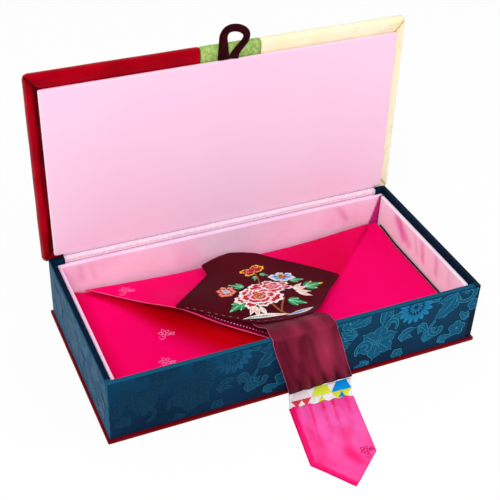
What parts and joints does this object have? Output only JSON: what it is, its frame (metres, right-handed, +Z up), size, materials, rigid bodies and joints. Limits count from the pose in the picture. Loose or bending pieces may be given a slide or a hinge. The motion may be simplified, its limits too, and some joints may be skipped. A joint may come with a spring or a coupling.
{
  "type": "gift box",
  "caption": "Hinged gift box with a padded fabric lid, closure loop, lined tray, and a silk envelope whose sash hangs over the front wall.",
  "frame": {"origin": "centre of the base plate's underside, where the box stands on the table", "axes": "+X along the box to the right, +Y to the back where the lid is hinged, +Z up"},
  "size_m": [0.2672, 0.2289, 0.1956],
  "materials": {
    "board": "matte grey card",
    "foam": "thin white padding",
    "red_silk": "deep red silk",
    "navy_damask": "navy damask with teal woven flowers",
    "pink_silk": "pink satin",
    "pale_pink_silk": "pale pink satin",
    "green_silk": "light green silk",
    "cream_silk": "cream silk",
    "magenta_silk": "magenta satin",
    "maroon_silk": "maroon satin",
    "dark_maroon_silk": "dark maroon silk",
    "dark_maroon_cord": "dark maroon fabric cord",
    "white_silk": "white silk",
    "coral_silk": "coral red silk",
    "yellow_green_silk": "yellow green silk",
    "blue_silk": "blue silk",
    "hot_pink_silk": "hot pink satin"
  },
  "bodies": {
    "tray": {"base_board": "board", "base_cloth": "red_silk", "tray_cloth": "navy_damask", "tray_floor_board": "board", "tray_front_board": "board", "tray_back_board": "board", "tray_left_board": "board", "tray_right_board": "board", "liner_card_front": "board", "liner_card_back": "board", "liner_card_left": "board", "liner_card_right": "board", "liner_silk_front": "pink_silk", "liner_silk_back": "pink_silk", "liner_silk_left": "pink_silk", "liner_silk_right": "pink_silk", "floor_pad_core": "foam", "floor_pad_cover": "pink_silk", "hinge_strip": "pink_silk", "hinge_cloth": "navy_damask", "envelope_back": "magenta_silk", "envelope_pocket": "magenta_silk", "envelope_flap": "magenta_silk", "tip_patch": "dark_maroon_silk", "embroidered_panel": "dark_maroon_silk", "sash_upper": "maroon_silk", "patchwork_band": "white_silk", "patch_left_upper": "pale_pink_silk", "patch_left_lower": "coral_silk", "patch_middle_upper": "yellow_green_silk", "patch_middle_lower": "pale_pink_silk", "patch_right_upper": "blue_silk", "patch_right_lower": "yellow_green_silk", "sash_tail": "hot_pink_silk"},
    "lid": {"lid_board": "board", "lid_foam": "foam", "lid_silk_red": "red_silk", "lid_silk_green": "green_silk", "lid_silk_cream": "cream_silk", "lining_board": "board", "lining_silk": "pale_pink_silk", "loop_leg_left": "dark_maroon_cord", "loop_leg_right": "dark_maroon_cord"},
    "loop": {"closure_loop": "dark_maroon_cord"}
  },
  "joints": [
    {"name": "lid_hinge", "type": "hinge", "parent": "tray", "child": "lid", "pos_m": [0, 0.064, 0.0495], "axis": [1, 0, 0], "range_deg": [0, 92]},
    {"name": "loop_fold", "type": "hinge", "parent": "lid", "child": "loop", "pos_m": [0, 0.06845, 0.18272], "axis": [1, 0, 0], "range_deg": [0, 88]}
  ]
}
